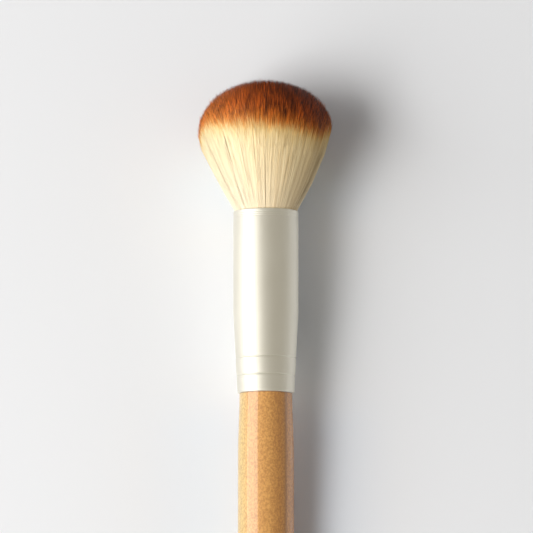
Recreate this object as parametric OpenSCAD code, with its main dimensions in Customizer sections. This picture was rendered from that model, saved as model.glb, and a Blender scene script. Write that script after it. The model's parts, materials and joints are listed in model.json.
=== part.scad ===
// A blush brush as it lies on a table: a turned bamboo handle, a drawn aluminium ferrule crimped
// over its tenon, and a domed head of fine filaments whose tied roots are set in resin.
// Every piece is drawn upright on the brush's own axis, with the ferrule's mouth at height zero and
// the filaments' tips upwards. lay_down() then lays the whole brush along +Y, on its head and butt.

/* [Ferrule] */
// Outside diameter of the straight upper stretch
ferrule_d = 17.3; // [15:0.1:20]
// Length of the straight stretch, from the mouth down to the taper
straight_l = 27; // [23:0.5:34]
// Length of the tapered skirt that grips the handle
skirt_l = 21.6; // [18:0.1:28]
// How far the skirt draws in, on the radius, from its top to its lower edge
skirt_draw_in = 1.15; // [0.8:0.05:1.6]
// Wall thickness of the aluminium
wall = 0.5; // [0.4:0.02:0.6]
// Radius of the rolled edge at the mouth
mouth_roll_r = 0.34; // [0.2:0.02:0.4]
// Chamfer on the skirt's lower edge
edge_chamfer = 0.2; // [0.1:0.02:0.28]

/* [Crimps] */
// Height of the lower crimp above the skirt's lower edge
crimp_low_h = 4.6; // [3.5:0.1:6]
// Distance from the lower crimp to the upper one
crimp_pitch = 4.7; // [3.5:0.1:6]
// Width of each crimped groove
crimp_w = 0.6; // [0.4:0.05:1]
// Depth of each crimped groove
crimp_depth = 0.13; // [0.08:0.01:0.22]
// How far the band between the two grooves swells out
band_rise = 0.06; // [0.03:0.01:0.15]

/* [Bristle head] */
// Diameter of the head at its widest circle
head_d = 35.6; // [30:0.1:42]
// Height of the widest circle above the mouth
belly_h = 22.2; // [18:0.1:27]
// Height of the dome above the widest circle
dome_h = 12.6; // [9:0.1:16]
// Radius of the rounding where the flare turns into the belly
belly_round_r = 12.7; // [9:0.1:15.5]
// Number of filament strands
strand_count = 400; // [300:10:500]
// Length over which each strand tapers to its tip
tip_taper_l = 5; // [3:0.1:6.5]
// How far the filaments give way where the head rests on the table
head_press = 0.8; // [0.6:0.1:1.2]

/* [Handle] */
// Length of the handle below the ferrule
handle_l = 91.6; // [80:0.2:110]
// Length over which the neck swells out to the grip
swell_l = 17; // [12:0.5:22]
// How far the neck swells out to the grip, on the radius
swell_rise = 0.42; // [0.2:0.02:0.8]
// Length of the straight grip
grip_l = 24; // [18:0.5:32]
// Diameter of the rounded butt end
butt_d = 10.4; // [8:0.1:12.5]
// Width of the shoulder that the skirt's lower edge sits on
shoulder_w = 0.03; // [0:0.01:0.2]

/* [Inside the ferrule] */
// Length of the tied root of the filaments
root_l = 12; // [9:0.5:15]
// Length of the resin plug below the root
plug_l = 7; // [5:0.5:8.5]
// Depth of the dish that the resin sets with
plug_dish = 1.2; // [0.6:0.1:2]
// Diameter of the thread that ties the root
thread_d = 0.5; // [0.3:0.05:0.7]
// Number of turns of that thread
thread_turns = 6; // [3:1:9]
// Height of the thread's lowest turn above the root's end
thread_h = 3; // [2:0.25:4]
// Distance from the taper's start down to the tenon's end
tenon_setback = 2.6; // [2.4:0.1:4]
// Thickness of the adhesive between the tenon and the skirt
glue_film = 0.2; // [0.15:0.01:0.3]
// Thickness of the adhesive cap over the tenon's end
glue_cap = 1.4; // [0.8:0.1:2]
// Chamfer round the tenon's end
tenon_chamfer = 0.8; // [0.4:0.1:1.2]

/* [Hidden] */
$fn = 96;

seat_gap = 0.03; // what keeps two seated curved faces from cutting into each other
overrun = 1; // how far a cutting shape runs past the face that it opens
root_drop = 0.6; // how far the tied root ends below the mouth
strand_bed = 0.4; // how deep each strand is bedded in the root
glue_stop = 1; // how far above the upper crimp the adhesive ends

// Steps that the curved stretches of the outlines are drawn in
roll_steps = 5;
crimp_steps = 6;
band_steps = 8;
swell_steps = 10;
taper_steps = 24;
butt_steps = 10;
turn_steps = 6;
turn_angle = 80; // how far each turn of thread is round, above and below its middle

ferrule_r = ferrule_d / 2;
ferrule_l = straight_l + skirt_l;
skirt_end_r = ferrule_r - skirt_draw_in;
bore_r = ferrule_r - wall;
skirt_end_z = -ferrule_l;
crimp_low_z = skirt_end_z + crimp_low_h;
crimp_top_z = crimp_low_z + crimp_pitch;

neck_r = skirt_end_r - wall + shoulder_w;
grip_r = neck_r + swell_rise;
butt_r = butt_d / 2;
butt_centre_z = skirt_end_z - handle_l + butt_r;
grip_top_z = skirt_end_z - swell_l;
grip_end_z = grip_top_z - grip_l;
tenon_end_z = -straight_l - tenon_setback;

head_r = head_d / 2;
mouth_r = bore_r - seat_gap;
root_r = bore_r - seat_gap;
root_end_z = -root_l;

// The flare is the straight line from the mouth's edge that is tangent to the belly's rounding.
belly_centre_r = head_r - belly_round_r;
flare_lean = asin(belly_round_r / norm([belly_centre_r - mouth_r, belly_h]))
    + atan2(belly_centre_r - mouth_r, belly_h);
flare_end_z = belly_h - belly_round_r * sin(flare_lean);

dye_z = flare_end_z; // the dyed stretch of the strands starts where the flare ends

// The strands stand in a sunflower pattern. One spacing of it is the head's radius over the square
// root of their number, and their centres lie at least 1.48 spacings apart. strand_fill_share is a
// strand's half width in spacings, so neighbours stay clear of each other.
golden_angle = 180 * (3 - sqrt(5));
pattern_turn = 34; // turn of the pattern that puts strands side by side on the table
strand_sides = 3;
strand_fill_share = 0.68;
strand_half_share = strand_fill_share / sqrt(strand_count);

// The brush rests on the belly's rounding, pressed in by head_press, and on its ball-shaped butt. The
// table is the line that touches the butt's circle and the belly's circle less head_press, and rest_tilt
// is its angle to the brush's axis.
rest_reach = norm([belly_centre_r, belly_h - butt_centre_z]);
rest_tilt = acos((butt_r - belly_round_r + head_press) / rest_reach)
    - atan2(belly_h - butt_centre_z, belly_centre_r);
mouth_height = butt_r - butt_centre_z * sin(rest_tilt);
tip_reach = belly_h * cos(rest_tilt) + norm([dome_h * cos(rest_tilt), head_r * sin(rest_tilt)]);
butt_reach = butt_centre_z * cos(rest_tilt) - butt_r;

// Outside radius of the skirt at a height, without its crimps
function skirt_r(z) = ferrule_r - skirt_draw_in * (-straight_l - z) / skirt_l;

// Smooth rise from 0 to 1, level at both ends
function ease(share) = (1 - cos(180 * share)) / 2;

// Points of an arc in the profile plane, as [radius, height]
function arc(centre, r, from, to, steps) =
    [for (i = [0:steps])
        let (a = from + (to - from) * i / steps)
        centre + r * [cos(a), sin(a)]];

// Outside of the crimped part of the skirt, upwards, drawn in by `inset`: a rounded groove, the
// swollen band and a second groove
function groove(z, inset) =
    [for (i = [0:crimp_steps])
        let (share = i / crimp_steps, zi = z + crimp_w * (share - 1 / 2))
        [skirt_r(zi) - inset - crimp_depth * sin(180 * share), zi]];
function band(inset) =
    let (from = crimp_low_z + crimp_w / 2, to = crimp_top_z - crimp_w / 2)
    [for (i = [1:band_steps - 1])
        let (share = i / band_steps, zi = from + (to - from) * share)
        [skirt_r(zi) - inset + band_rise * sin(180 * share), zi]];
function crimped(inset) = concat(groove(crimp_low_z, inset), band(inset), groove(crimp_top_z, inset));

function reversed(points) = [for (i = [len(points) - 1:-1:0]) points[i]];

module ferrule() {
    edge_z = skirt_end_z + edge_chamfer;
    outside = concat(
        [[skirt_end_r - edge_chamfer, skirt_end_z], [skirt_r(edge_z), edge_z]],
        crimped(0),
        [[ferrule_r, -straight_l]],
        arc([ferrule_r - mouth_roll_r, -mouth_roll_r], mouth_roll_r, 0, 90, roll_steps));
    inside = concat(
        [[bore_r, 0], [bore_r, -straight_l]],
        reversed(crimped(wall)),
        [[skirt_end_r - wall, skirt_end_z]]);
    color("lightgray") rotate_extrude() polygon(concat(outside, inside));
}

module handle() {
    tenon_r = skirt_r(tenon_end_z) - wall - glue_film;
    glue_end_z = crimp_top_z + crimp_w / 2 + glue_stop;
    glue_end_bore_r = skirt_r(glue_end_z) - wall;
    taper_l = grip_end_z - butt_centre_z;
    outline = concat(
        [[0, tenon_end_z], [tenon_r - tenon_chamfer, tenon_end_z], [tenon_r, tenon_end_z - tenon_chamfer]],
        [[glue_end_bore_r - glue_film, glue_end_z], [glue_end_bore_r - seat_gap, glue_end_z]],
        reversed(crimped(wall + seat_gap)),
        [[skirt_end_r - wall - seat_gap, skirt_end_z], [neck_r, skirt_end_z]],
        [for (i = [1:swell_steps])
            [neck_r + swell_rise * ease(i / swell_steps), skirt_end_z - swell_l * i / swell_steps]],
        [for (i = [0:taper_steps])
            [grip_r + (butt_r - grip_r) * ease(i / taper_steps), grip_end_z - taper_l * i / taper_steps]],
        [for (p = arc([0, butt_centre_z], butt_r, 0, -90, butt_steps))
            if (p.y < butt_centre_z) [max(p.x, 0), p.y]]);
    color("burlywood") rotate_extrude() polygon(outline);
}

// Outside radius of the bristle head at a height, where nothing presses on it
function head_outside(z) =
    z < flare_end_z ? mouth_r + z * tan(flare_lean)
    : z < belly_h ? belly_centre_r + sqrt(pow(belly_round_r, 2) - pow(belly_h - z, 2))
    : head_r;

// Distance from the brush's axis to the table at a height. The table is on the +Y side.
function table_reach(z) = (mouth_height + z * sin(rest_tilt)) / cos(rest_tilt);

// Radius of the head at a height in one direction. It ends at the table where the head rests on it.
function head_reach(z, turn) =
    let (out = head_outside(z), reach = table_reach(z))
    out * sin(turn) > reach ? reach / sin(turn) : out;

// Every strand keeps its share of the head's radius, so that no two of them cross. Its tip is where
// that share meets the dome, which is half an ellipsoid.
function strand_share(i) = (1 - strand_half_share) * sqrt((i + 1 / 2) / strand_count);
function strand_turn(i) = pattern_turn + i * golden_angle;
function tip_z(i) = belly_h + dome_h * sqrt(1 - pow(strand_share(i), 2));
function strand_centre(i, z) =
    head_reach(z, strand_turn(i)) * strand_share(i) * [cos(strand_turn(i)), sin(strand_turn(i))];

// Corners of a strand's rings at the given heights, and its tip
function ring_points(i, heights) =
    [for (z = heights, k = [0:strand_sides - 1])
        let (
            a = strand_turn(i) + 360 * k / strand_sides,
            half_w = head_reach(z, strand_turn(i)) * strand_half_share)
        concat(strand_centre(i, z) + half_w * [cos(a), sin(a)], z)];
function tip_point(i) = concat(strand_centre(i, tip_z(i)), tip_z(i));

// Triangles of a strand, where `first` is the number of a ring's first corner: those up to the next
// ring, those that close a strand below and above, and those up to its tip
function storey_faces(first) =
    [for (k = [0:strand_sides - 1], upper = [false, true])
        let (next = (k + 1) % strand_sides, high = first + strand_sides)
        upper ? [first + k, high + k, high + next] : [first + k, high + next, first + next]];
function bottom_face(first) = [[for (k = [0:strand_sides - 1]) first + k]];
function top_face(first) = [[for (k = [strand_sides - 1:-1:0]) first + k]];
function tip_faces(first) =
    [for (k = [0:strand_sides - 1]) [first + k, first + strand_sides, first + (k + 1) % strand_sides]];

// The undyed stretch of every strand, from its bed in the root up to the dye's edge
module undyed_strands() {
    points_each = 2 * strand_sides;
    polyhedron(
        points = [for (i = [0:strand_count - 1]) each ring_points(i, [-root_drop - strand_bed, dye_z])],
        faces = [for (i = [0:strand_count - 1])
            let (first = points_each * i)
            each concat(bottom_face(first), storey_faces(first), top_face(first + strand_sides))]);
}

// The dyed stretch of every strand, from the dye's edge to the tip
module dyed_strands() {
    points_each = 2 * strand_sides + 1;
    polyhedron(
        points = [for (i = [0:strand_count - 1])
            each concat(ring_points(i, [dye_z, tip_z(i) - tip_taper_l]), [tip_point(i)])],
        faces = [for (i = [0:strand_count - 1])
            let (first = points_each * i)
            each concat(bottom_face(first), storey_faces(first), tip_faces(first + strand_sides))]);
}

module bristle_tuft() {
    color("navajowhite") {
        difference() {
            translate([0, 0, root_end_z]) cylinder(r = root_r, h = root_l - root_drop);
            thread_seat();
        }
        undyed_strands();
    }
    color("sienna") dyed_strands();
}

// Ring-shaped room round the root for the thread, as deep as the thread is thick and half a thread
// longer than the winding at each end
module thread_seat() {
    low = root_end_z + thread_h - thread_d / 2;
    seat_l = (thread_turns + 1) * thread_d;
    translate([0, 0, low]) difference() {
        cylinder(r = root_r + overrun, h = seat_l);
        translate([0, 0, -overrun]) cylinder(r = root_r - thread_d, h = seat_l + 2 * overrun);
    }
}

module root_thread() {
    low = root_end_z + thread_h;
    inner_r = root_r - thread_d + seat_gap;
    turn_r = thread_d / 2 - seat_gap;
    turns = [for (i = [0:thread_turns - 1])
        let (centre = [inner_r + turn_r, low + thread_d * (i + 1 / 2)])
        each arc(centre, turn_r, -turn_angle, turn_angle, turn_steps)];
    color("ivory") rotate_extrude() polygon(concat(
        [[inner_r, low + thread_d / 2 - turn_r]],
        turns,
        [[inner_r, low + thread_d * (thread_turns - 1 / 2) + turn_r]]));
}

module resin_plug() {
    dish_r = (pow(root_r, 2) + pow(plug_dish, 2)) / (2 * plug_dish);
    low = root_end_z - plug_l;
    color("goldenrod") difference() {
        translate([0, 0, low]) cylinder(r = root_r, h = plug_l);
        translate([0, 0, low + plug_dish - dish_r]) sphere(r = dish_r);
    }
}

module tenon_glue() {
    tenon_r = skirt_r(tenon_end_z) - wall - glue_film + seat_gap;
    end_z = tenon_end_z + seat_gap;
    low = crimp_top_z + crimp_w / 2 + glue_stop + seat_gap;
    top = end_z + glue_cap;
    color("wheat") rotate_extrude() polygon([
        [0, top],
        [skirt_r(top) - wall - seat_gap, top],
        [skirt_r(low) - wall - seat_gap, low],
        [skirt_r(low) - wall - glue_film + seat_gap, low],
        [tenon_r, tenon_end_z - tenon_chamfer],
        [tenon_r - tenon_chamfer, end_z],
        [0, end_z]]);
}

// Lays the upright brush along +Y with its butt and its head's belly on the table, z = 0, and the
// middle of its length over the origin
module lay_down() {
    translate([0, -(tip_reach + butt_reach) / 2, mouth_height]) rotate([rest_tilt - 90, 0, 0]) children();
}

lay_down() handle();
lay_down() ferrule();
lay_down() bristle_tuft();
lay_down() root_thread();
lay_down() resin_plug();
lay_down() tenon_glue();
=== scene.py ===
# A blush brush lying on a pale table, on its head's belly and its ball-shaped butt. Filaments are tied
# and set in resin in an aluminium ferrule, and the ferrule is glued and crimped onto a bamboo handle.
# Everything is in metres, with +Y towards the tips and +Z up off the table.
import json

import bmesh
import bpy
import numpy as np
from mathutils import Matrix, Vector


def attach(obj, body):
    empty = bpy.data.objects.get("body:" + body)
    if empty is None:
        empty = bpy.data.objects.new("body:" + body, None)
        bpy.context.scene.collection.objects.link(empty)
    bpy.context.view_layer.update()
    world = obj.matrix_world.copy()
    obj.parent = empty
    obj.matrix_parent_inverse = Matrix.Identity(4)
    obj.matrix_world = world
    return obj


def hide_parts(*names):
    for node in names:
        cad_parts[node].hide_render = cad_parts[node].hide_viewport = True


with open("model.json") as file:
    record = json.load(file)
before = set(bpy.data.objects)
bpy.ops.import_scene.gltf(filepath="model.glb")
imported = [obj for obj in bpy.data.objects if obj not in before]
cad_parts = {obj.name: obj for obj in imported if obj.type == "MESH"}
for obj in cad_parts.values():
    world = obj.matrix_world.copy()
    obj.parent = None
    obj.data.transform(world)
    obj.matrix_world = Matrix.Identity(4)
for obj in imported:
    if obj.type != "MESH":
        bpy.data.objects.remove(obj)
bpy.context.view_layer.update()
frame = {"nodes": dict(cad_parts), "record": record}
mm = 0.001

# The brush's own axis rises from butt to tips, because the head is thicker than the butt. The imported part
# gives it as the axis of the round seat on the ferrule. Heights below run along it from the ferrule's
# mouth, which is zero, and `across` and `upward` are the directions square to it.
seat = next(mount for mount in frame["record"]["mounts"] if mount["name"] == "ferrule_seat")
axis = -np.array(seat["axis"])
across = np.array([1.0, 0.0, 0.0])
upward = np.cross(across, axis)
seat_middle = np.array(seat["pos_m"])


def reach(node, origin):
    """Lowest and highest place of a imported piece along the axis, measured from an origin."""
    corners = np.empty(3 * len(frame["nodes"][node].data.vertices))
    frame["nodes"][node].data.vertices.foreach_get("co", corners)
    along = (corners.reshape(-1, 3) - origin) @ axis
    return along.min(), along.max()


mouth = seat_middle + reach("ferrule", seat_middle)[1] * axis
ferrule_low = reach("ferrule", mouth)[0]
handle_low, tenon_high = reach("handle", mouth)
root_low = reach("bristle_tuft", mouth)[0]
thread_low, thread_high = reach("root_thread", mouth)


# The filaments are fine synthetic hairs, cream with dyed chestnut tips. They fan out straight from the
# ferrule's mouth, and the bundle is cut so that their tips make the belly's rounding and the dome. The
# belly lies lower on the left, and on the right the fan's sides bend in.
mouth_r = 8.12 * mm
mouth_swell = 0.3 * mm
mouth_swell_l = 1 * mm
flare = 0.505
bend_h = 13 * mm
bend = 0.23
head_r = 17.6 * mm
head_lean = 0.2 * mm
belly_h = 22.2 * mm
belly_skew = 1.2 * mm
belly_round_r = 12.7 * mm
dome_h = 12.6 * mm
halvings = 30

# One hair is a line of rings at shares of its length, thinner at both ends. It starts below the ferrule's
# mouth. The hairs are dealt out to four shells. The search for their clumps is split into batches.
hair_count = 35000
shells = 4
batches = 25
hair_r = 0.06 * mm
hair_bed = 1 * mm
ring_shares = np.array([0.0, 0.36, 0.7, 0.94, 1.0])
ring_thickness = np.array([0.8, 1.0, 1.0, 0.8])
twist = 0.35

# Hairs lie in clumps that lean together. All wander and bow a little, and one in a hundred strays.
spot_jitter = 0.003
clump_count = 11000
clump_jitter = 0.004
clump_lean = (0.1, 0.8)
wander_w = 0.14 * mm
stray_share = 0.01
stray_w = 0.5 * mm
bow_w = 0.07 * mm

# The tips are trimmed to the cut, give or take, and some end short of it.
tip_gain = 0.45 * mm
tip_spread = 0.12 * mm
tip_short = 0.2 * mm
clump_spread = 0.26 * mm

# The dye's edge runs wavy and ragged round the head. A rise is its side, its height and how narrow it is.
dye_h = 20 * mm
dye_wave = 1.3 * mm
dye_skew = 0.8 * mm
dye_rises = [(-1, 3.6 * mm, 3), (-1, -4.5 * mm, 24), (1, 3.6 * mm, 12)]
dye_ragged = 0.6 * mm
clump_ragged = 0.45 * mm

# Most hairs share the look of their tone. A tone is a thin wedge of the bundle, so that it shows as a long
# streak. The hairs' soft facing is that of the bundle, and more so on the left.
looks = 64
map_l = 40 * mm
tone_count = 1100
tone_depth = 0.055
alike_share = 0.6
soft_share = 0.6
soft_gain_left = 0.28
chance = np.random.default_rng(11)


class Wire:
    """One socket of a finish. An expression of wires and numbers adds the Math nodes that work it out."""

    def __init__(self, finish, socket):
        self.finish = finish
        self.socket = socket

    def __getitem__(self, output):
        return Wire(self.finish, self.socket.node.outputs[output])

    def __abs__(self):
        return self.finish.math("ABSOLUTE", self)

    def __add__(self, other):
        return self.finish.math("ADD", self, other)

    def __sub__(self, other):
        return self.finish.math("SUBTRACT", self, other)

    def __rsub__(self, other):
        return self.finish.math("SUBTRACT", other, self)

    def __mul__(self, other):
        return self.finish.math("MULTIPLY", self, other)

    def __pow__(self, other):
        return self.finish.math("POWER", self, other)

    def __rpow__(self, other):
        return self.finish.math("POWER", other, self)

    __radd__ = __add__
    __rmul__ = __mul__


class Finish:
    """A material, written as expressions. `shader` holds the shader's values that are the same all over."""

    def __init__(self, name, shader):
        self.material = bpy.data.materials.new(name)
        self.material.use_nodes = True
        self.tree = self.material.node_tree
        self.principled = self.tree.nodes["Principled BSDF"]
        self.fill(self.principled, shader)

    def fill(self, node, values):
        """Sets a node's sockets, and links those whose value is a wire."""
        for socket, value in values.items():
            if isinstance(value, Wire):
                self.tree.links.new(value.socket, node.inputs[socket])
            else:
                node.inputs[socket].default_value = value

    def add(self, kind, settings, values):
        """Adds a node of that kind, sets its settings, then its sockets, and returns its first output."""
        node = self.tree.nodes.new("ShaderNode" + kind)
        for setting, value in settings.items():
            if setting == "stops":
                ramp = node.color_ramp.elements
                while len(ramp) < len(value):
                    ramp.new(1.0)
                for stop, (place, colour) in zip(ramp, value):
                    stop.position = place
                    stop.color = (*colour, 1.0)
            else:
                setattr(node, setting, value)
        self.fill(node, values)
        return Wire(self, node.outputs[0])

    def math(self, operation, first, second=0.0):
        return self.add("Math", {"operation": operation}, {0: first, 1: second})

    def ranged(self, value, start, end, first=0.0, last=1.0, smooth=False):
        """Goes from the first number to the last as the value goes from start to end, and no further."""
        settings = {"interpolation_type": "SMOOTHSTEP" if smooth else "LINEAR"}
        return self.add("MapRange", settings, {0: value, 1: start, 2: end, 3: first, 4: last})

    def mixed(self, amount, first, second):
        """A colour that goes from the first to the second as the amount goes from 0 to 1."""
        colours = [c if isinstance(c, Wire) else (*c, 1.0) for c in (first, second)]
        mix = self.add("Mix", {"data_type": "RGBA"}, {0: amount, 6: colours[0], 7: colours[1]})
        return mix[2]

    def times(self, vector, factors):
        """A colour or a place times a factor for each of its three parts."""
        return self.add("VectorMath", {"operation": "MULTIPLY"}, {0: vector, 1: factors})

    def parts(self, place):
        """A place taken apart. Its parts are then read as ["X"], ["Y"] and ["Z"]."""
        return self.add("SeparateXYZ", {}, {0: place})

    def own_place(self):
        """Place in the piece's own mesh, which is its place in the scene at rest."""
        return self.add("TexCoord", {}, {})["Object"]

    def brush_place(self):
        """Place on the brush: across it, away from the table, and along its axis from the mouth."""
        turn = Matrix(np.stack([across, -upward, axis], 1).tolist()).to_euler()
        values = {"Vector": self.own_place(), "Location": mouth, "Rotation": turn}
        return self.add("Mapping", {"vector_type": "TEXTURE"}, values)

    def noise(self, place, size, stretch=1.0, detail=2.0):
        """Soft noise from 0 to 1, with grains of a size in metres that are stretched along the axis."""
        grains = self.times(place, Vector((1 / size, 1 / size, 1 / (size * stretch))))
        return self.add("TexNoise", {}, {"Vector": grains, "Scale": 1.0, "Detail": detail})

    def bumped(self, height, depth):
        """A bump's normal: the height wire times a depth in metres."""
        return self.add("Bump", {}, {"Height": height, "Distance": depth})

    def done(self, **varying):
        """Links what varies over the surface to the shader's sockets of those names."""
        self.fill(self.principled, {name.replace("_", " "): wire for name, wire in varying.items()})
        return self.material


def new_piece(name, points, faces, finish, replaced):
    """A mesh that is a piece of the brush: it rides on its one body and stands for the replaced node."""
    mesh = bpy.data.meshes.new(name)
    mesh.from_pydata(points.tolist(), [], faces)
    mesh.materials.append(finish)
    piece = bpy.data.objects.new(name, mesh)
    bpy.context.scene.collection.objects.link(piece)
    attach(piece, "root")
    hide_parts(replaced)
    return piece


def cut_radius(height, belly):
    """Radius of the cut head: a quarter round up to the belly, at its height there, and half an ellipse
    above it."""
    below = head_r - belly_round_r + np.sqrt(np.maximum(belly_round_r**2 - (belly - height) ** 2, 0))
    above = head_r * np.sqrt(np.maximum(1 - ((height - belly) / (belly_h + dome_h - belly)) ** 2, 0))
    return np.where(height < belly, below, above)


def fan_radius(height, side=0.0):
    """Radius of the fan: straight sides, with a swell just above the ferrule's edge. `side` goes from -1 on
    the left to 1 on the right, where the sides bend in above bend_h."""
    swell = mouth_swell * (1 - np.exp(-np.maximum(height, 0) / mouth_swell_l))
    return mouth_r + flare * height + swell - bend * np.maximum(side, 0) * np.maximum(height - bend_h, 0)


def cut_height(share, side, belly):
    """Height at which a hair, at its share of the fan's radius, meets the cut. Found by halving."""
    low = np.full_like(share, belly_h - belly_round_r / 2)
    high = np.full_like(share, belly_h + dome_h)
    for _ in range(halvings):
        middle = (low + high) / 2
        inside = share * fan_radius(middle, side) < cut_radius(middle, belly)
        low = np.where(inside, middle, low)
        high = np.where(inside, high, middle)
    return low


def sunflower(count):
    """Points spread evenly over the unit disc: the i-th is sqrt(i / count) out, a golden angle further on."""
    number = np.arange(count) + 0.5
    turn = number * np.pi * (3 - np.sqrt(5))
    return np.sqrt(number / count)[:, None] * np.stack([np.sin(turn), np.cos(turn)], 1)


def nearest(spot, middles):
    """Number of the middle that each spot lies nearest to, found in batches."""
    return np.concatenate([((middles**2).sum(1) - 2 * batch @ middles.T).argmin(1)
                           for batch in np.array_split(spot, batches)])


def pressed_in(place, height, outline_r):
    """Rings as they lie on the table. Under the axis they draw in alike, until the hair that would be
    outermost just meets the table."""
    table_reach = (mouth[2] + height * axis[2]) / upward[2]
    down = -place[..., 1] / np.maximum(np.linalg.norm(place, axis=2), hair_r)
    return place * (table_reach / np.maximum(outline_r * down, table_reach))[:, :, None]


def dye_edges(turn, clump):
    """Height of each hair's dye edge: a wave twice round the head, a skew to the left, rises that are powers
    of how far the hair lies to a side, and what is ragged from hair to hair and from clump to clump."""
    edge = dye_h + dye_wave * np.cos(2 * turn) - dye_skew * np.sin(turn)
    for side, rise, narrowness in dye_rises:
        edge += rise * np.maximum(side * np.sin(turn), 0) ** narrowness
    edge += chance.normal(0, dye_ragged, hair_count)
    return edge + chance.normal(0, clump_ragged, clump_count)[clump]


def hair_looks(tone):
    """A look for every hair. The share that goes alike takes the look of its tone."""
    look = chance.integers(0, looks, hair_count)
    alike = chance.random(hair_count) < alike_share
    look[alike] = chance.integers(0, looks, tone_count)[tone[alike]]
    return look


def hair_lines():
    """Rings of every hair as (across, upward, height), how far each lies past the dye's edge, and its look.

    A hair keeps its share of the fan's radius, and ends at the cut, give or take the trim. It leans to the
    middle of its clump by the fifth power of how far up itself it is, wanders by the power 1.5 of that, and
    bows by half a sine wave."""
    spot = sunflower(hair_count) + chance.normal(0, spot_jitter, (hair_count, 2))
    share = np.linalg.norm(spot, axis=1)
    spot /= np.maximum(share, 1)[:, None]
    share = np.minimum(share, 1)
    clumps = sunflower(clump_count) + chance.normal(0, clump_jitter, (clump_count, 2))
    clump = nearest(spot, clumps)
    turn = np.arctan2(spot[:, 0], spot[:, 1])
    wedge = np.stack([np.sin(turn), np.cos(turn), tone_depth * share], 1)
    tone = nearest(wedge, wedge[chance.choice(hair_count, tone_count, replace=False)])

    trim = tip_gain + chance.normal(0, tip_spread, hair_count) - chance.exponential(tip_short, hair_count)
    trim += chance.normal(0, clump_spread, clump_count)[clump]
    side = spot[:, 0]
    belly = belly_h + belly_skew * np.minimum(side, 0)
    height = -hair_bed + (cut_height(share, side, belly) + trim + hair_bed)[:, None] * ring_shares

    lean = chance.uniform(*clump_lean, clump_count)[clump, None] * ring_shares**5
    place = spot[:, None] + (clumps[clump] - spot)[:, None] * lean[:, :, None]
    fan = fan_radius(height, side[:, None])
    place = place * fan[:, :, None]
    wander = chance.normal(0, wander_w, (hair_count, 1, 2))
    strays = chance.random((hair_count, 1, 1)) < stray_share
    wander += strays * chance.normal(0, stray_w, (hair_count, 1, 2))
    bow = chance.normal(0, bow_w, (hair_count, 1, 2))
    place += wander * ring_shares[:, None] ** 1.5 + bow * np.sin(np.pi * ring_shares)[:, None]
    place[..., 0] -= head_lean * ring_shares
    place = pressed_in(place, height, np.minimum(fan, cut_radius(height, belly[:, None])))
    past_dye = height - dye_edges(turn, clump)[:, None]
    return np.concatenate([place, height[:, :, None]], 2), past_dye, hair_looks(tone)


def bundle_facing(lines):
    """Way out of the bundle at each ring: square to the fan at the root, turning to square to the cut by the
    cube of the ring's number as a share of the last."""
    place, height = lines[..., :2], lines[..., 2]
    radius = np.linalg.norm(place, axis=2)
    least_r = 0.01 * mm
    least_under = 0.1 / head_r
    out = place / np.maximum(radius, least_r)[..., None]
    slope = radius / fan_radius(height) * flare
    over = np.where(height > belly_h, (height - belly_h) / dome_h**2, (height - belly_h) / belly_round_r**2)
    below = np.maximum(radius - head_r + belly_round_r, 0) / belly_round_r**2
    under = np.where(height > belly_h, radius / head_r**2, below)
    to_cut = np.arctan2(over, np.maximum(under, least_under))
    to_fan = -np.arctan(slope)
    lift = to_fan + (to_cut - to_fan) * np.linspace(0, 1, lines.shape[1]) ** 3
    return np.concatenate([out * np.cos(lift)[..., None], np.sin(lift)[..., None]], 2)


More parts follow.
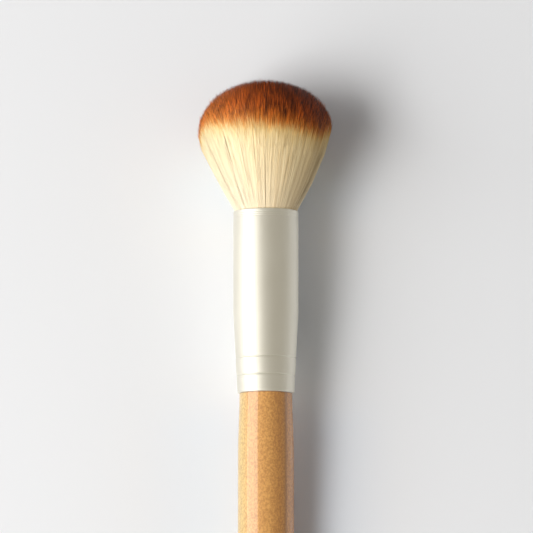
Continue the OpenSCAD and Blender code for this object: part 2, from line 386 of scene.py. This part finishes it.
def hair_shell(name, lines, past_dye, look, finish):
    """Three-sided hairs round the given lines, each closed below and drawn to a point above.

    Corner k of a ring lies one hair radius out, k thirds of a turn round, so that one side faces out of the
    bundle, give or take a twist. In the map, u is the hair's slot out of `looks` and runs once round the
    hair, and v is 0.5 at the dye's edge and gains 1 over map_l."""
    count, rings, _ = lines.shape
    out_turn = np.arctan2(lines[:, -1:, 1], lines[:, -1:, 0]) + chance.normal(0, twist, (count, 1))
    corner = out_turn + (2 * np.arange(3) + 1) * np.pi / 3
    round_line = np.stack([np.cos(corner), np.sin(corner), 0 * corner], 2)
    thickness = hair_r * ring_thickness[:, None, None]
    rim = (lines[:, :-1, None] + thickness * round_line[:, None]).reshape(count, -1, 3)
    local = np.concatenate([rim, lines[:, -1:]], 1)
    points = mouth + local @ np.stack([across, upward, axis])
    points[..., 2] = np.maximum(points[..., 2], hair_r)
    facing = bundle_facing(lines)
    own = np.concatenate([np.tile(round_line, (1, rings - 1, 1)), np.tile([0, 0, 1], (count, 1, 1))], 1)
    softness = soft_share + soft_gain_left * np.clip(-lines[:, -1:, :1] / head_r, 0, 1)
    soft = np.concatenate([np.repeat(facing[:, :-1], 3, 1), facing[:, -1:]], 1) * softness
    soft = (soft + own * (1 - softness)) @ np.stack([across, upward, axis])

    tip = 3 * (rings - 1)
    low = np.arange(tip - 3)
    beside = low + np.where(low % 3 == 2, -2, 1)
    sides = np.stack([low, low + 3, beside + 3, beside], 1)
    top = np.arange(tip - 3, tip)
    caps = np.stack([top, np.full(3, tip), top[[1, 2, 0]]], 1)
    first = np.arange(count)[:, None, None] * (tip + 1)
    faces = [(first + part).reshape(-1, part.shape[1]) for part in (sides, caps, np.array([[0, 1, 2]]))]
    piece = new_piece(name, points.reshape(-1, 3), sum((f.tolist() for f in faces), []), finish,
                      "bristle_tuft")

    v = past_dye / map_l + 0.5
    u = (look[:, None] + np.arange(3) / 3) / looks
    third = 1 / (3 * looks)
    side_u = np.tile(u, rings - 2)
    v_low = np.repeat(v[:, :-2], 3, 1)
    v_high = np.repeat(v[:, 1:-1], 3, 1)
    v_top = np.repeat(v[:, -2:-1], 3, 1)
    v_tip = np.repeat(v[:, -1:], 3, 1)
    side_map = np.stack([side_u, v_low, side_u, v_high, side_u + third, v_high, side_u + third, v_low], 2)
    cap_map = np.stack([u, v_top, u + third / 2, v_tip, u + third, v_top], 2)
    end_map = np.stack([u[:, 0], v[:, 0], u[:, 1], v[:, 0], u[:, 2], v[:, 0]], 1)
    places = np.concatenate([side_map.ravel(), cap_map.ravel(), end_map.ravel()])
    piece.data.uv_layers.new(name="OFBake").uv.foreach_set("vector", places)
    piece.data.shade_smooth()
    soft /= np.linalg.norm(soft, axis=2)[..., None]
    piece.data.normals_split_custom_set_from_vertices(soft.reshape(-1, 3).tolist())
    return piece


# Colours along a hair, in the map that has the dye's edge at 0.5, and the painted light and shade that
# change them over the head.
hair_stops = [
    (0.00, (1.00, 0.88, 0.65)),
    (0.38, (1.00, 0.86, 0.56)),
    (0.46, (0.96, 0.76, 0.39)),
    (0.495, (0.93, 0.57, 0.19)),
    (0.52, (0.84, 0.36, 0.068)),
    (0.56, (0.84, 0.265, 0.032)),
    (0.64, (0.77, 0.180, 0.018)),
    (0.85, (0.64, 0.125, 0.013)),
]
dye_fade = (0.47, 0.58)
lit_left_to_shaded_right = (-10 * mm, 10 * mm)
lit_far_left = (-16 * mm, -8 * mm)
lit_far_left_share = 0.6
shade_gain_right = 0.9


def dyed_filament():
    """Cream hair, orange where the dye fades in, then chestnut, and darkest at the tip. Each look is dark to
    its
    own degree. Painted shade to the right: there the cream is yellower and its dark looks darker, and more of
    the dyed looks are dark. Painted light at the far left makes the dye brighter."""
    hair = Finish("dyed_filament", {"Roughness": 0.42, "Specular IOR Level": 0.4})
    place = hair.parts(hair.add("UVMap", {"uv_map": "OFBake"}, {}))
    slot = hair.math("FLOOR", place["X"] * looks)
    own = hair.add("TexWhiteNoise", {"noise_dimensions": "1D"}, {"W": slot})
    colour = hair.add("ValToRGB", {"stops": hair_stops}, {0: place["Y"]})
    dyed_share = hair.ranged(place["Y"], *dye_fade)
    side = hair.parts(hair.brush_place())["X"]
    # Painted light and shade by side: paler on the lit left, darker and warmer on the shaded right.
    toward_shade = hair.ranged(side, *lit_left_to_shaded_right)
    painted_light = hair.ranged(side, *lit_far_left, lit_far_left_share, 0.0) * dyed_share
    lit_colour = hair.mixed(painted_light, colour, (0.95, 0.27, 0.035))
    cream_shade_tint = hair.mixed(toward_shade, (1.0, 0.985, 0.97), (1.0, 0.965, 0.88))
    dye_light_and_shade = hair.mixed(toward_shade, (1.20, 1.14, 1.05), (1.16, 0.90, 0.80))
    tinted = hair.times(lit_colour, hair.mixed(dyed_share, cream_shade_tint, dye_light_and_shade))
    darkest_cream_shaded = hair.mixed(toward_shade, (0.96, 0.93, 0.90), (0.74, 0.65, 0.53))
    darkest = hair.mixed(dyed_share, darkest_cream_shaded, (0.03, 0.02, 0.02))
    lightness = own ** (dyed_share * toward_shade * shade_gain_right + 1.0)
    return hair.done(Base_Color=hair.times(tinted, hair.mixed(lightness, darkest, (1.0, 1.0, 1.0))))


# Such filaments are translucent, and light gets deep in among them. So only one shell in four throws a
# shadow.
hair_finish = dyed_filament()
lines, past_dye, look = hair_lines()
for shell in range(shells):
    hairs = hair_shell("filaments_%d" % (shell + 1), lines[shell::shells], past_dye[shell::shells],
                       look[shell::shells], hair_finish)
    hairs.visible_shadow = shell == 0


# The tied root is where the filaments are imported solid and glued, inside the ferrule. It is turned here
# as one plug with a waist, where the thread is wound.
root_drop = 0.6 * mm
thread_d = 0.5 * mm
round_steps = 160
weld = 0.0001 * mm
sharp_edge = np.radians(38)


def turned(name, outline, finish, replaced, closed=False):
    """An outline of (radius, height) points swung round the axis: point j at turn i is at height j along
    the axis, and radius j out along sin(turn) across + cos(turn) upward."""
    radius, height = np.array(outline).T
    turn = np.arange(round_steps) * 2 * np.pi / round_steps
    out = np.sin(turn)[:, None] * across + np.cos(turn)[:, None] * upward
    points = mouth + height[None, :, None] * axis + radius[None, :, None] * out[:, None]
    count = len(radius)
    bands = np.arange(count if closed else count - 1)
    turns, steps = np.meshgrid(np.arange(round_steps), bands, indexing="ij")
    here, beside = turns * count, (turns + 1) % round_steps * count
    above = (steps + 1) % count
    faces = np.stack([here + steps, here + above, beside + above, beside + steps], -1).reshape(-1, 4)
    piece = new_piece(name, points.reshape(-1, 3), faces.tolist(), finish, replaced)
    shell = bmesh.new()
    shell.from_mesh(piece.data)
    bmesh.ops.remove_doubles(shell, verts=shell.verts, dist=weld)
    bmesh.ops.recalc_face_normals(shell, faces=shell.faces)
    shell.to_mesh(piece.data)
    shell.free()
    piece.data.shade_smooth()
    piece.data.set_sharp_from_angle(angle=sharp_edge)
    return piece


def glued_root():
    """Cream hair ends darkened by glue, as fine streaks along the brush."""
    root = Finish("glued_root", {"Roughness": 0.5})
    streaks = root.noise(root.brush_place(), size=0.15 * mm, stretch=30)
    return root.done(Base_Color=root.mixed(streaks, (0.55, 0.40, 0.22), (0.80, 0.64, 0.38)))


waist_low, waist_high = thread_low - thread_d / 2, thread_high + thread_d / 2
turned("tied_root", [
    (0, root_low), (mouth_r, root_low), (mouth_r, waist_low), (mouth_r - thread_d, waist_low),
    (mouth_r - thread_d, waist_high), (mouth_r, waist_high), (mouth_r, -root_drop), (0, -root_drop),
], glued_root(), "bristle_tuft")


# The thread is waxed cotton wound round the root, the plug is amber resin cast below it, and the adhesive
# is cured round and over the tenon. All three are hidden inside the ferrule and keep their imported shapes.
def waxed_thread():
    """Off-white cotton with fine fibres across the turns."""
    thread = Finish("waxed_thread", {"Roughness": 0.6})
    fibres = thread.noise(thread.brush_place(), size=0.12 * mm, stretch=0.4)
    colour = thread.mixed(fibres, (0.78, 0.74, 0.64), (0.94, 0.92, 0.85))
    return thread.done(Base_Color=colour, Normal=thread.bumped(fibres, depth=0.02 * mm))


def cast_resin():
    """Amber resin with cloudy patches."""
    resin = Finish("cast_resin", {"Roughness": 0.15, "Coat Weight": 0.5})
    clouds = resin.noise(resin.brush_place(), size=2 * mm)
    return resin.done(Base_Color=resin.mixed(clouds, (0.55, 0.34, 0.10), (0.80, 0.58, 0.26)))


def cured_adhesive():
    """Cream adhesive with a slightly uneven skin."""
    glue = Finish("cured_adhesive", {"Roughness": 0.4})
    skin = glue.noise(glue.brush_place(), size=0.8 * mm)
    colour = glue.mixed(skin, (0.80, 0.70, 0.50), (0.90, 0.83, 0.66))
    return glue.done(Base_Color=colour, Normal=glue.bumped(skin, depth=0.05 * mm))


inner_finishes = {"root_thread": waxed_thread(), "resin_plug": cast_resin(), "tenon_glue": cured_adhesive()}
for node, finish in inner_finishes.items():
    for material_slot in frame["nodes"][node].material_slots:
        material_slot.material = finish


# The ferrule is a drawn aluminium tube with a satin pearl finish. It is straight above and tapers below. Its
# mouth is rolled in, with three fine lines rolled below it, and two grooves are crimped into the skirt, with
# a slight swell between them.
ferrule_r = 8.65 * mm
straight_l = 27 * mm
skirt_draw_in = 1.15 * mm
wall = 0.5 * mm
roll_r = 0.34 * mm
hem_h = 0.7 * mm
hem_depth = 0.22 * mm
crimp_low_h = 4.6 * mm
crimp_pitch = 4.7 * mm
crimp_w = 0.6 * mm
crimp_depth = 0.13 * mm
band_rise = 0.06 * mm
line_heights = np.array([-1.95, -1.45, -0.95]) * mm
line_w = 0.4 * mm
line_depth = 0.04 * mm
below_steps, crimp_steps, above_steps, line_steps = 10, 121, 14, 9
crimps = ferrule_low + crimp_low_h + np.array([0, crimp_pitch])


def arc(radius, height, size, start, stop, steps=8, stretch=1.0):
    """Points of an arc in the outline's plane, from one angle to another in degrees, stretched in height."""
    angle = np.radians(np.linspace(start, stop, steps))
    return list(zip(radius + size * np.cos(angle), height + size * stretch * np.sin(angle)))


def skirt_radius(height):
    """The taper's straight line, less a cosine-shaped groove at each crimp, plus a sine swell between."""
    share = np.clip((height - crimps[0]) / crimp_pitch, 0, 1)
    radius = ferrule_r - skirt_draw_in * (height + straight_l) / (ferrule_low + straight_l)
    for crimp in crimps:
        nearness = np.clip(1 - np.abs(height - crimp) / (crimp_w / 2), 0, 1)
        radius = radius - crimp_depth * np.sin(nearness * np.pi / 2) ** 2
    return radius + band_rise * np.sin(share * np.pi)


def satin_pearl():
    """Warm pale metal. Its satin grain is very fine, and a little uneven from place to place."""
    metal = Finish("satin_pearl", {"Metallic": 1.0, "Coat Weight": 0.6, "Coat Roughness": 0.35})
    place = metal.brush_place()
    patches = metal.noise(place, size=4 * mm, stretch=2)
    grain = metal.noise(place, size=0.08 * mm, stretch=0.5)
    colour = metal.mixed(patches, (0.83, 0.80, 0.70), (0.88, 0.855, 0.76))
    roughness = patches * 0.06 + 0.51
    return metal.done(Base_Color=colour, Roughness=roughness, Normal=metal.bumped(grain, depth=0.002 * mm))


skirt_heights = np.concatenate([
    np.linspace(ferrule_low + hem_h, crimps[0] - crimp_w, below_steps),
    np.linspace(crimps[0] - crimp_w / 2, crimps[1] + crimp_w / 2, crimp_steps),
    np.linspace(crimps[1] + crimp_w, -straight_l, above_steps),
])
skirt_outside = list(zip(skirt_radius(skirt_heights), skirt_heights))
skirt_inside = list(zip(skirt_radius(skirt_heights) - wall, skirt_heights))[::-1]
fine_lines = [(ferrule_r - line_depth * np.sin(share * np.pi) ** 2, height + line_w * (share - 0.5))
              for height in line_heights for share in np.linspace(0, 1, line_steps)]
hem_edge = skirt_radius(ferrule_low + hem_h) - hem_depth
ferrule_outline = (
    arc(hem_edge, ferrule_low + hem_h, hem_depth, -90, 0, stretch=hem_h / hem_depth)
    + skirt_outside[1:]
    + fine_lines
    + arc(ferrule_r - roll_r, -roll_r, roll_r, 0, 90)
    + [(ferrule_r - wall, 0), (ferrule_r - wall, -straight_l)]
    + skirt_inside[1:]
    + [(skirt_radius(ferrule_low) - wall, ferrule_low)]
)
turned("ferrule_tube", ferrule_outline, satin_pearl(), "ferrule", closed=True)


# The handle is turned from bamboo and finished in thick gloss lacquer. Its tenon fits the skirt, the crimps
# press into it, and below them it swells to the grip and then tapers to a ball-shaped butt.
neck_r = 7.03 * mm
grip_r = 7.45 * mm
butt_r = 5.2 * mm
swell_l = 17 * mm
grip_l = 24 * mm
seat_gap = 0.03 * mm
glue_film = 0.2 * mm
glue_stop = 1 * mm
tenon_chamfer = 0.8 * mm
swell_steps, taper_steps, butt_steps = 20, 60, 24

# Places across the handle where painted light and shade change its colour: painted light on the lit left,
# painted shade on the right, and a painted warm glow of bounce light on the right rim. Then a thin darker
# line down the right side, from its middle to where it has faded, and the painted shadow under the ferrule.
lit_left_to_plain = (-6.0 * mm, -4.4 * mm)
plain_to_shaded_right = (1.0 * mm, 3.4 * mm)
shaded_right_to_warm_rim = (5.3 * mm, 5.9 * mm)
dark_line_at = 5.25 * mm
dark_line_fade = (0.15 * mm, 0.5 * mm)
dark_line_share = 0.5
shadow_under_ferrule_w = 0.35 * mm
shadow_under_ferrule_share = 0.8
speckle_range = (0.32, 0.68)
fibre_share = 0.35
drift_share = 0.25


def ease(share):
    """Smooth rise from 0 to 1, level at both ends: half a cosine wave."""
    return (1 - np.cos(np.pi * share)) / 2


def lacquered_bamboo():
    """Amber bamboo under clear gloss lacquer: a fine speckle of pores, short fibres and slow colour drift.
    Painted light makes the left paler and yellower, painted shade makes the right darker, and a painted warm
    glow lies on the right rim. A thin darker line runs down the right side, and painted shadow lies just
    under the ferrule's edge."""
    wood = Finish("lacquered_bamboo", {"Roughness": 0.5, "Specular IOR Level": 0.65, "Coat Weight": 1.0,
                                       "Coat Roughness": 0.03, "Coat IOR": 1.7})
    place = wood.brush_place()
    speckle = wood.noise(place, size=0.45 * mm, stretch=1.3, detail=3.0)
    fibres = wood.noise(place, size=0.3 * mm, stretch=14)
    drift = wood.noise(place, size=6 * mm, stretch=3)
    contrast = wood.ranged(speckle, *speckle_range, smooth=True)
    speckled = wood.mixed(contrast, (0.47, 0.19, 0.034), (0.76, 0.38, 0.090))
    fibred = wood.mixed(fibres * fibre_share, speckled, (0.43, 0.165, 0.028))
    drifted = wood.mixed(drift * drift_share, fibred, (0.78, 0.40, 0.095))
    part = wood.parts(place)
    # Painted light on the lit left, painted shade on the right, and painted warm bounce light on the right
    # rim.
    lit_left = wood.ranged(part["X"], *lit_left_to_plain, 1.0, 0.0)
    shaded_right = wood.ranged(part["X"], *plain_to_shaded_right)
    warm_rim = wood.ranged(part["X"], *shaded_right_to_warm_rim)
    lit_left_tint = wood.mixed(lit_left, (1.0, 1.0, 1.0), (0.98, 1.38, 1.95))
    shaded_right_tint = wood.mixed(shaded_right, lit_left_tint, (0.84, 0.75, 0.50))
    side_lit = wood.times(drifted, wood.mixed(warm_rim, shaded_right_tint, (1.0, 0.86, 0.50)))
    # A thin darker line down the right side of the handle.
    dark_line = wood.ranged(abs(part["X"] - dark_line_at), *dark_line_fade, dark_line_share, 0.0)
    lined = wood.mixed(dark_line, side_lit, (0.30, 0.12, 0.022))
    # Painted shadow under the ferrule's proud edge.
    shadow_under_ferrule = wood.ranged(part["Z"], ferrule_low - shadow_under_ferrule_w, ferrule_low, 0.0, shadow_under_ferrule_share)
    return wood.done(Base_Color=wood.mixed(shadow_under_ferrule, lined, (0.10, 0.06, 0.04)))


tenon_r = skirt_radius(tenon_high) - wall - glue_film
glue_end = crimps[1] + crimp_w / 2 + glue_stop
glue_end_r = skirt_radius(glue_end) - wall
grip_high = ferrule_low - swell_l
grip_low = grip_high - grip_l
butt_h = handle_low + butt_r
seated_heights = skirt_heights[skirt_heights < glue_end][::-1]
swell_shares = np.linspace(0, 1, swell_steps)[1:]
taper_shares = np.linspace(0, 1, taper_steps)[1:]
taper_radii = grip_r + (butt_r - grip_r) * ease(taper_shares)
handle_outline = (
    [(0, tenon_high), (tenon_r - tenon_chamfer, tenon_high), (tenon_r, tenon_high - tenon_chamfer)]
    + [(glue_end_r - glue_film, glue_end), (glue_end_r - seat_gap, glue_end)]
    + list(zip(skirt_radius(seated_heights) - wall - seat_gap, seated_heights))
    + [(skirt_radius(ferrule_low) - wall - seat_gap, ferrule_low), (neck_r, ferrule_low)]
    + list(zip(neck_r + (grip_r - neck_r) * ease(swell_shares), ferrule_low - swell_l * swell_shares))
    + [(grip_r, grip_low)]
    + list(zip(taper_radii, grip_low + (butt_h - grip_low) * taper_shares))
    + arc(0, butt_h, butt_r, 0, -90, butt_steps)[1:-1]
    + [(0, handle_low)]
)
turned("turned_handle", handle_outline, lacquered_bamboo(), "handle")


# The table is a plain sheet of near-white paper, far wider than the picture. Hair and wood throw warm light
# on it and the ferrule pale light. A painted cool tint and painted shade make up for both, so that it looks
# plain all over.
table_half = 3.0
ferrule_middle = mouth + ferrule_low / 2 * axis
beside_brush = (5 * mm, 38 * mm)
off_ferrule = (18 * mm, 34 * mm)
past_ends = (62 * mm, 92 * mm)
beside_metal = (8 * mm, 17 * mm)
under_metal = (-8 * mm, 8 * mm)
along_metal = (10 * mm, 36 * mm)
blue_at_ferrule, blue_off_ferrule = 0.15, 0.9
painted_shade_on_left = 0.1


def white_paper():
    """Grey-white paper, painted bluer beside the brush, mostly off the ferrule's length, and with painted
    shade close beside the ferrule's straight stretch, mostly on its right."""
    paper = Finish("white_paper", {"Roughness": 0.9, "Specular IOR Level": 0.0})
    ground = paper.parts(paper.own_place())
    off_axis = abs(ground["X"])
    off_middle = abs(ground["Y"] - ferrule_middle[1])
    off_seat = abs(ground["Y"] - seat_middle[1])
    blue = paper.ranged(off_axis, *beside_brush, 1.0, 0.0, smooth=True)
    blue = blue * paper.ranged(off_middle, *off_ferrule, blue_at_ferrule, blue_off_ferrule, smooth=True)
    blue = blue * paper.ranged(abs(ground["Y"]), *past_ends, 1.0, 0.0, smooth=True)
    # Painted shade beside the ferrule: the paper is darkened there, little on its left.
    dark = paper.ranged(off_axis, *beside_metal, 1.0, 0.0, smooth=True)
    dark = dark * paper.ranged(ground["X"], *under_metal, painted_shade_on_left, 1.0, smooth=True)
    dark = dark * paper.ranged(off_seat, *along_metal, 1.0, 0.0, smooth=True)
    hue = paper.mixed(blue, (0.84, 0.84, 0.845), (0.765, 0.827, 0.90))
    return paper.done(Base_Color=paper.times(hue, paper.mixed(dark, (1.0, 1.0, 1.0), (0.70, 0.705, 0.72))))


table_mesh = bpy.data.meshes.new("table")
table_mesh.from_pydata([(x * table_half, y * table_half, 0) for x, y in ((-1, -1), (1, -1), (1, 1), (-1, 1))],
                       [], [(0, 1, 2, 3)])
table_mesh.materials.append(white_paper())
table = bpy.data.objects.new("table", table_mesh)
bpy.context.scene.collection.objects.link(table)


# The camera looks down a little from square to the brush's axis, as the photograph does. The ferrule's
# straight stretch sets the picture's scale.
ferrule_px = 65.13
picture_px = 533
picture_middle_px = 55
side_step_px = 0.6
lens_mm, sensor_mm = 400, 36
clip_far = 20
look_down = np.radians(7)
px = 2 * ferrule_r / ferrule_px
middle = mouth - picture_middle_px * px / np.cos(look_down) * axis + side_step_px * px * across
back = np.cos(look_down) * upward - np.sin(look_down) * axis
distance = lens_mm / sensor_mm * picture_px * px
camera = bpy.data.objects.new("camera", bpy.data.cameras.new("camera"))
bpy.context.scene.collection.objects.link(camera)
camera.data.lens = lens_mm
camera.data.sensor_width = sensor_mm
camera.data.clip_end = clip_far
camera.location = middle + distance * back
camera.rotation_euler = Vector(back).to_track_quat("Z", "Y").to_euler()
bpy.context.scene.camera = camera


# Soft lamps stand to the left, a little towards the handle, with a weak warm one on the right, in an even
# grey room. The window is the one lamp that lacquer, metal and hair mirror, and it lights nothing else.
def soft_lamp(name, turn, elevation, wide, high, radiance, far, mirrored=False):
    """A rectangular lamp that faces the ferrule's mouth, turn degrees from the left towards the handle.
    It spans wide by high degrees as seen from there, and its power gives it that radiance. A mirrored lamp
    shows only in gloss, and any other lights everything but gloss."""
    turn, elevation = np.radians(turn), np.radians(elevation)
    way = np.array([-np.cos(turn) * np.cos(elevation), -np.sin(turn) * np.cos(elevation), np.sin(elevation)])
    lamp = bpy.data.objects.new(name, bpy.data.lights.new(name, "AREA"))
    bpy.context.scene.collection.objects.link(lamp)
    width, height = (2 * far * np.tan(np.radians(span) / 2) for span in (wide, high))
    lamp.data.shape = "RECTANGLE"
    lamp.data.size, lamp.data.size_y = width, height
    lamp.data.energy = np.pi * radiance * width * height
    lamp.location = mouth + far * way
    lamp.rotation_euler = Vector(way).to_track_quat("Z", "Y").to_euler()
    lamp.visible_glossy = mirrored
    lamp.visible_diffuse = not mirrored
    return lamp


soft_lamp("softbox", turn=22, elevation=52, wide=34, high=22, radiance=8.3, far=1.5)
soft_lamp("low_light", turn=19, elevation=26, wide=68, high=44, radiance=2.62, far=1.6)
soft_lamp("window", turn=15, elevation=31, wide=76, high=52, radiance=2.3, far=1.7, mirrored=True)
fill = soft_lamp("fill", turn=180, elevation=16, wide=80, high=30, radiance=0.75, far=1.6)
fill.data.color = (1.0, 0.95, 0.88)


room_light = (0.20, 0.20, 0.199, 1)
room_in_gloss = (0.42, 0.397, 0.352, 1)
room_in_view = (0.86, 0.86, 0.86, 1)


def pale_room():
    """An even grey room. Metal and lacquer see it brighter and warmer, and the camera sees it pale."""
    room = bpy.data.worlds.new("room")
    room.use_nodes = True
    tree = room.node_tree
    light = tree.nodes["Background"]
    light.inputs["Color"].default_value = room_light
    rays = tree.nodes.new("ShaderNodeLightPath")
    for ray, colour in (("Is Glossy Ray", room_in_gloss), ("Is Camera Ray", room_in_view)):
        seen = tree.nodes.new("ShaderNodeBackground")
        seen.inputs["Color"].default_value = colour
        choice = tree.nodes.new("ShaderNodeMixShader")
        tree.links.new(rays.outputs[ray], choice.inputs[0])
        tree.links.new(light.outputs[0], choice.inputs[1])
        tree.links.new(seen.outputs[0], choice.inputs[2])
        light = choice
    tree.links.new(light.outputs[0], tree.nodes["World Output"].inputs["Surface"])
    return room


bpy.context.scene.world = pale_room()
bpy.context.scene.view_settings.view_transform = "Standard"
